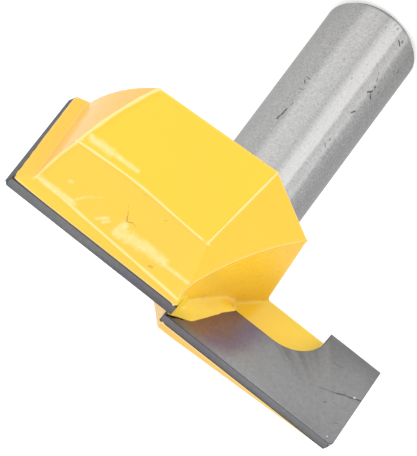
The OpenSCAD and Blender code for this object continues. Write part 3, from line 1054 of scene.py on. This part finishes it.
    def build(self, groups: Groups) -> bpy.types.Object:
        """Makes the painted body.

        Args:
            groups: The shared shader groups.

        Returns:
            The finished piece.
        """
        piece = self.solid()
        skin = piece.modifiers.new("skin", "REMESH")
        skin.mode, skin.voxel_size, skin.adaptivity = "VOXEL", self.grid, 0.0
        settle(piece)
        steel = Steel(self.lines)
        self.fair(piece.data, steel)
        self.mark(piece.data, steel)
        steel.free()
        coat = piece.modifiers.new("coat", "NODES")
        coat.node_group = self.relief()
        inputs = {s.name: s.identifier for s in coat.node_group.interface.items_tree
                  if getattr(s, "in_out", "") == "INPUT"}
        coat[inputs["Paint"]] = self.finish.material(groups)
        settle(piece)
        faces = sum(len(p.vertices) - 2 for p in piece.data.polygons)
        thin = piece.modifiers.new("thin", "DECIMATE")
        thin.ratio = min(1.0, self.most_faces / faces)
        settle(piece)
        piece.data.shade_smooth()
        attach(piece, "root")
        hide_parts("body")
        LOG.info("painted body: %d triangles from %d", self.most_faces, faces)
        return piece


@dataclass
class Shank:
    """The bare round shank, ground lengthwise, with a chamfered end."""

    finish: SteelFinish = field(default_factory=SteelFinish)
    radius: float = 6.35 * MM
    chamfer_length: float = 0.93 * MM
    chamfer_depth: float = 0.74 * MM
    top: float = 39.6 * MM
    cell: float = 0.16 * MM
    pit_depth: float = 0.05 * MM
    face_rings: tuple[float, ...] = (0.12, 0.3, 0.5, 0.7, 0.88, 0.985)
    slope_rings: tuple[float, ...] = (0.12, 0.5, 0.9)
    strays: int = 14
    seed: int = 7
    pits: tuple[Pit, ...] = (
        Pit(-36, 23.0, 2.0, 0.11, -8, 0.75), Pit(-37, 23.9, 0.3, 0.15, 0, 0.6),
        Pit(-33, 20.9, 0.5, 0.10, 0, 0.4), Pit(-37, 16.6, 0.7, 0.10, 35, 0.6),
        Pit(-36, 15.8, 0.8, 0.08, 60, 0.45), Pit(-35, 18.0, 0.8, 0.07, 70, 0.4),
        Pit(33, 11.6, 0.9, 0.13, -30, 0.8), Pit(38, 11.9, 0.5, 0.14, 60, 0.8),
        Pit(35, 10.4, 0.3, 0.13, 0, 0.8), Pit(31, 9.4, 0.4, 0.10, 20, 0.7),
        Pit(24, 8.3, 1.6, 0.06, 55, 0.4), Pit(44, 10.2, 0.3, 0.10, 0, 0.5),
        Pit(31, 15.9, 0.7, 0.12, -25, 0.75), Pit(26, 2.7, 0.6, 0.13, 60, 0.8),
        Pit(28, 2.2, 0.3, 0.12, 0, 0.6), Pit(50, 5.2, 0.3, 0.13, 0, 0.5),
        Pit(44, 6.0, 0.3, 0.08, 0, 0.4), Pit(5, 12.5, 0.4, 0.09, 0, 0.35),
        Pit(28, 21.9, 0.3, 0.10, 0, 0.6), Pit(27, 23.0, 0.5, 0.09, 50, 0.5),
        Pit(-14, 10.8, 0.3, 0.08, 0, 0.3), Pit(14, 1.4, 0.3, 0.10, 0, 0.6),
        Pit(9, 1.2, 0.3, 0.09, 0, 0.5), Pit(2, 2.6, 0.4, 0.08, 0, 0.35))

    def all_pits(self) -> list[Pit]:
        """The pits seen on the front, and seeded ones like them all round."""
        draw = np.random.default_rng(self.seed)
        return list(self.pits) + [
            Pit(draw.uniform(60, 320), draw.uniform(1.5, 36.0), draw.uniform(0.2, 1.6),
                draw.uniform(0.06, 0.14), draw.uniform(-60, 60), draw.uniform(0.3, 0.8))
            for _ in range(self.strays)]

    def profile(self) -> list[tuple[float, float]]:
        """Radius and height of each ring, from the middle of the end face up."""
        end = self.radius - self.chamfer_depth
        face = [(end * share, 0.0) for share in self.face_rings]
        edge = [(end + 0.02 * MM, 0.012 * MM)]
        slope = [(end + self.chamfer_depth * share, self.chamfer_length * share)
                 for share in self.slope_rings]
        count = round((self.top - self.chamfer_length) / self.cell)
        side = [(self.radius, self.chamfer_length + (self.top - self.chamfer_length) * i / count)
                for i in range(count + 1)]
        return face + edge + slope + [(self.radius - 0.02 * MM, self.chamfer_length - 0.03 * MM)] + side

    def build(self, groups: Groups) -> bpy.types.Object:
        """Makes the shank.

        Args:
            groups: The shared shader groups.

        Returns:
            The finished piece.
        """
        rings = self.profile()
        around = round(math.tau * self.radius / self.cell)
        turn = np.arange(around) * (math.tau / around)
        radii, heights = (np.array(column) for column in zip(*rings))
        depth = np.zeros((len(rings), around))
        for pit in self.all_pits():
            across = (np.degrees(turn) - pit.angle + 180) % 360 - 180
            east = np.radians(across)[None, :] * self.radius / MM
            north = (heights[:, None] / MM - pit.height)
            lean = math.radians(pit.slant)
            along = north * math.cos(lean) + east * math.sin(lean)
            beside = east * math.cos(lean) - north * math.sin(lean)
            wobble = beside + 0.10 * np.sin(along * 5.0 + pit.angle)
            shape = np.exp(-(2 * along / pit.length) ** 4 - (wobble / pit.width) ** 2)
            depth = np.maximum(depth, shape * (radii[:, None] >= self.radius - 0.01 * MM))
        reach = radii[:, None] - depth * self.pit_depth
        points = np.stack([reach * np.sin(turn), reach * np.cos(turn),
                           np.broadcast_to(heights[:, None], depth.shape)], 2).reshape(-1, 3)
        faces = [(r * around + i, r * around + (i + 1) % around,
                  (r + 1) * around + (i + 1) % around, (r + 1) * around + i)
                 for r in range(len(rings) - 1) for i in range(around)]
        faces.append(tuple(reversed(range(around))))
        faces.append(tuple(range((len(rings) - 1) * around, len(rings) * around)))
        mesh = bpy.data.meshes.new("bare_shank")
        mesh.from_pydata(points.tolist(), [], faces)
        shape = bmesh.new()
        shape.from_mesh(mesh)
        bmesh.ops.recalc_face_normals(shape, faces=shape.faces)
        shape.to_mesh(mesh)
        shape.free()
        mesh.shade_smooth()
        mesh.materials.append(self.finish.material(groups, self.pits, self.radius))
        piece = new_piece("bare_shank", mesh)
        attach(piece, "root")
        LOG.info("shank: %d faces, %d pits", len(mesh.polygons), len(self.all_pits()))
        return piece


@dataclass
class Blade:
    """A carbide blade with its edges just broken."""

    wing: Wing
    edge_break: float = 0.07 * MM
    end_reach: float = 24.0 * MM
    end_shade: float = 3.2
    square_on: float = 0.9
    edge_angle: float = 20.0

    def build(self, groups: Groups) -> bpy.types.Object:
        """Makes the blade.

        Args:
            groups: The shared shader groups.

        Returns:
            The finished piece.
        """
        node = f"blade_{self.wing.name.lower()}"
        shape = merged_copy(node)
        rake = Vector((0, 1, 0)) if self.wing is Wing.A else Vector((0, -1, 0))
        flank_shade = shape.faces.layers.float.new("flank_shade")
        # share of painted shade on each face: none on the rake face, more on the outer ends than on the
        # flanks
        for face in shape.faces:
            end = abs(face.calc_center_median().x) > self.end_reach and abs(face.normal.x) > self.square_on
            face[flank_shade] = 0.0 if face.normal.dot(rake) > self.square_on else self.end_shade if end else 1.0
        mesh = bpy.data.meshes.new(f"carbide_{node}")
        shape.to_mesh(mesh)
        shape.free()
        mesh.materials.clear()
        piece = new_piece(f"carbide_{node}", mesh)
        edge = piece.modifiers.new("edge", "BEVEL")
        edge.width, edge.segments, edge.limit_method = self.edge_break, 2, "ANGLE"
        edge.angle_limit = math.radians(self.edge_angle)
        edge.harden_normals = True
        finish = CarbideFinish(self.wing).material(groups)
        for _ in range(2):
            mesh.materials.append(finish)
        edge.material = 1
        settle(piece)
        mesh = piece.data
        # the broken edges' faces, which the carbide draws with painted shade
        broken = mesh.attributes.new("edge", "FLOAT", "FACE")
        broken.data.foreach_set("value", [float(face.material_index) for face in mesh.polygons])
        mesh.materials.clear()
        mesh.materials.append(finish)
        mesh.polygons.foreach_set("material_index", [0] * len(mesh.polygons))
        mesh.shade_smooth()
        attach(piece, "root")
        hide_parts(node)
        LOG.info("%s: %d faces", piece.name, len(mesh.polygons))
        return piece


@dataclass(frozen=True)
class SoftBox:
    """A square soft light that faces the bit, at an azimuth from +Y toward +X and an elevation."""

    name: str
    azimuth: float
    elevation: float
    level: float
    width: float = 0.22
    distance: float = 0.6

    def build(self, target: Vector) -> None:
        """Adds the light. Its level is the share of a white surface's brightness that it gives head on."""
        lamp = bpy.data.lights.new(self.name, "AREA")
        lamp.shape, lamp.size = "SQUARE", self.width
        lamp.energy = self.level * (math.pi * self.distance) ** 2
        made = bpy.data.objects.new(self.name, lamp)
        toward = direction(self.azimuth, self.elevation)
        made.matrix_world = Matrix.Translation(target + toward * self.distance) @ facing(toward)
        bpy.context.scene.collection.objects.link(made)


def direction(azimuth: float, elevation: float) -> Vector:
    """Unit vector toward an azimuth from +Y toward +X and an elevation, in degrees."""
    a, e = math.radians(azimuth), math.radians(elevation)
    return Vector((math.sin(a) * math.cos(e), math.cos(a) * math.cos(e), math.sin(e)))


def facing(back: Vector, roll: float = 0.0) -> Matrix:
    """Rotation whose Z axis is a direction, level with the ground before a roll in degrees."""
    right = Vector((0, 0, 1)).cross(back).normalized()
    rows = Matrix((right, back.cross(right), back)).transposed()
    return (rows @ Matrix.Rotation(math.radians(roll), 3, "Z")).to_4x4()


@dataclass
class Studio:
    """A pale floor, plain soft lights and the camera."""

    azimuth: float = -2.452
    elevation: float = 37.95
    roll: float = -143.27
    distance: float = 1.13541
    target: Point = (-2.311 * MM, -0.258 * MM, 40.204 * MM)
    focal_pixels: float = 9147.0
    frame_height: float = 456.0
    film: float = 36.0
    world_level: float = 0.95
    floor_white: float = 0.40
    floor_tone: float = 0.90
    floor_half: float = 4.0
    floor_drop: float = 0.05 * MM
    boxes: tuple[SoftBox, ...] = (
        SoftBox("front_light", -22, 4, 0.16),
        SoftBox("side_light", 98, 15, 0.22),
    )

    def camera(self) -> None:
        """Adds the camera at the photograph's angle."""
        data = bpy.data.cameras.new("camera")
        data.sensor_width = self.film
        data.lens = self.focal_pixels / self.frame_height * self.film
        data.clip_start, data.clip_end = 0.05, 20.0
        made = bpy.data.objects.new("camera", data)
        back = direction(self.azimuth, self.elevation)
        place = Matrix.Translation(Vector(self.target) + back * self.distance)
        made.matrix_world = place @ facing(back, self.roll)
        bpy.context.scene.collection.objects.link(made)
        bpy.context.scene.camera = made

    def seen(self, sheet: Sheet) -> Socket:
        """1 for rays from the camera or from a gloss or glass surface, and 0 for the light itself."""
        rays = sheet.node("ShaderNodeLightPath").outputs
        glossy = sheet.larger(rays["Is Camera Ray"], rays["Is Glossy Ray"])
        return sheet.larger(glossy, rays["Is Transmission Ray"])

    def world(self) -> None:
        """A white surround that lights the bit at a lower level."""
        world = bpy.data.worlds.new("surround")
        world.use_nodes = True
        bpy.context.scene.world = world
        sheet = Sheet(world.node_tree)
        background = world.node_tree.nodes["Background"]
        background.inputs["Color"].default_value = (1.0, 1.0, 1.0, 1.0)
        level = sheet.math("MULTIPLY_ADD", self.seen(sheet), 1.0 - self.world_level, self.world_level)
        sheet.feed(background.inputs["Strength"], level)

    def floor(self) -> None:
        """A pale floor under the end of the shank."""
        mesh = bpy.data.meshes.new("floor")
        half = self.floor_half
        mesh.from_pydata([(-half, -half, 0), (half, -half, 0), (half, half, 0), (-half, half, 0)], [],
                         [(0, 1, 2, 3)])
        material = bpy.data.materials.new("pale_floor")
        material.use_nodes = True
        sheet = Sheet(material.node_tree)
        shader = material.node_tree.nodes["Principled BSDF"]
        shader.inputs["Base Color"].default_value = (*[self.floor_tone] * 3, 1.0)
        shader.inputs["Roughness"].default_value = 1.0
        shader.inputs["Specular IOR Level"].default_value = 0.0
        shader.inputs["Emission Color"].default_value = (1.0, 1.0, 1.0, 1.0)
        sheet.feed(shader.inputs["Emission Strength"], sheet.times(self.seen(sheet), self.floor_white))
        mesh.materials.append(material)
        floor = new_piece("floor", mesh)
        floor.location.z = -self.floor_drop

    def build(self) -> None:
        """Sets up the camera, the lights, the surround and the floor."""
        self.camera()
        for box in self.boxes:
            box.build(Vector(self.target))
        self.world()
        self.floor()
        bpy.context.scene.view_settings.view_transform = "Standard"


def main() -> None:
    """Builds the studio and each piece of the bit."""
    logging.basicConfig(level=logging.INFO, format="%(name)s %(message)s")
    Studio().build()
    groups = {"speckles": speckle_group(), "stroke": stroke_group()}
    PaintedBody().build(groups)
    Shank().build(groups)
    for wing in Wing:
        Blade(wing).build(groups)


if __name__ == "__main__":
    main()
